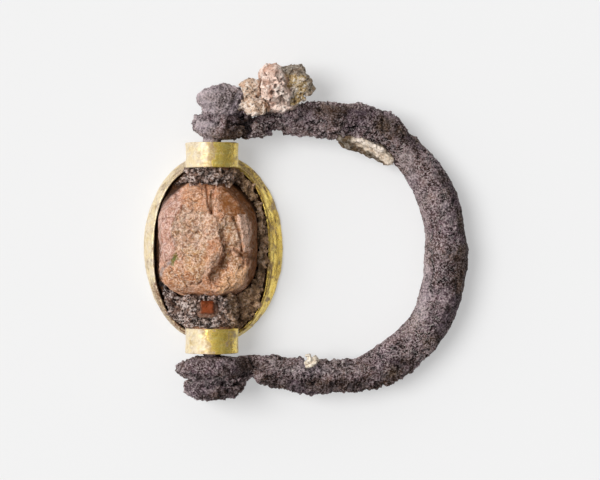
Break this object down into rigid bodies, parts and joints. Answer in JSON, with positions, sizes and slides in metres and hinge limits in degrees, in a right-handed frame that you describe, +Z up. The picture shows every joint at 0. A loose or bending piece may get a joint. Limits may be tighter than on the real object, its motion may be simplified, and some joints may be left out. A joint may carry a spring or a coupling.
{
  "type": "swivel scarab finger ring",
  "caption": "Finger ring with a carved beetle stone in a gold mount that swivels on a wire through the pierced ends of a corroded silver hoop.",
  "frame": {"origin": "centre of the scarab's flat seal face, which it rests on", "axes": "+X from the scarab to the back of the hoop, +Y along the pivot wire from the beetle's head end to its tail end, +Z up out of the beetle's back"},
  "size_m": [0.0311, 0.0322, 0.0072],
  "materials": {
    "corroded_silver": "thick granular grey-purple corrosion",
    "sheet_gold": "worn and scratched, stained with soil",
    "carved_stone": "reddish brown, worn and broken",
    "dark_crust": "pitted dark crust with pale specks",
    "burial_soil": "porous pale soil",
    "lime": "pale crumbly deposit"
  },
  "bodies": {
    "hoop": {"silver_hoop": "corroded_silver", "pivot_wire": "corroded_silver", "soil_crag": "burial_soil", "soil_slab": "burial_soil", "soil_cluster": "burial_soil", "arm_scale": "burial_soil", "lime_crumb": "lime"},
    "bezel": {"scarab_stone": "carved_stone", "gold_rim": "sheet_gold", "upper_collar": "sheet_gold", "lower_collar": "sheet_gold", "upper_collar_disc": "sheet_gold", "lower_collar_disc": "sheet_gold", "setting_fill": "dark_crust"}
  },
  "joints": [
    {"name": "bezel_swivel", "type": "hinge", "parent": "hoop", "child": "bezel", "pos_m": [0, 0, 0.0033], "axis": [0, 1, 0], "continuous": true}
  ]
}
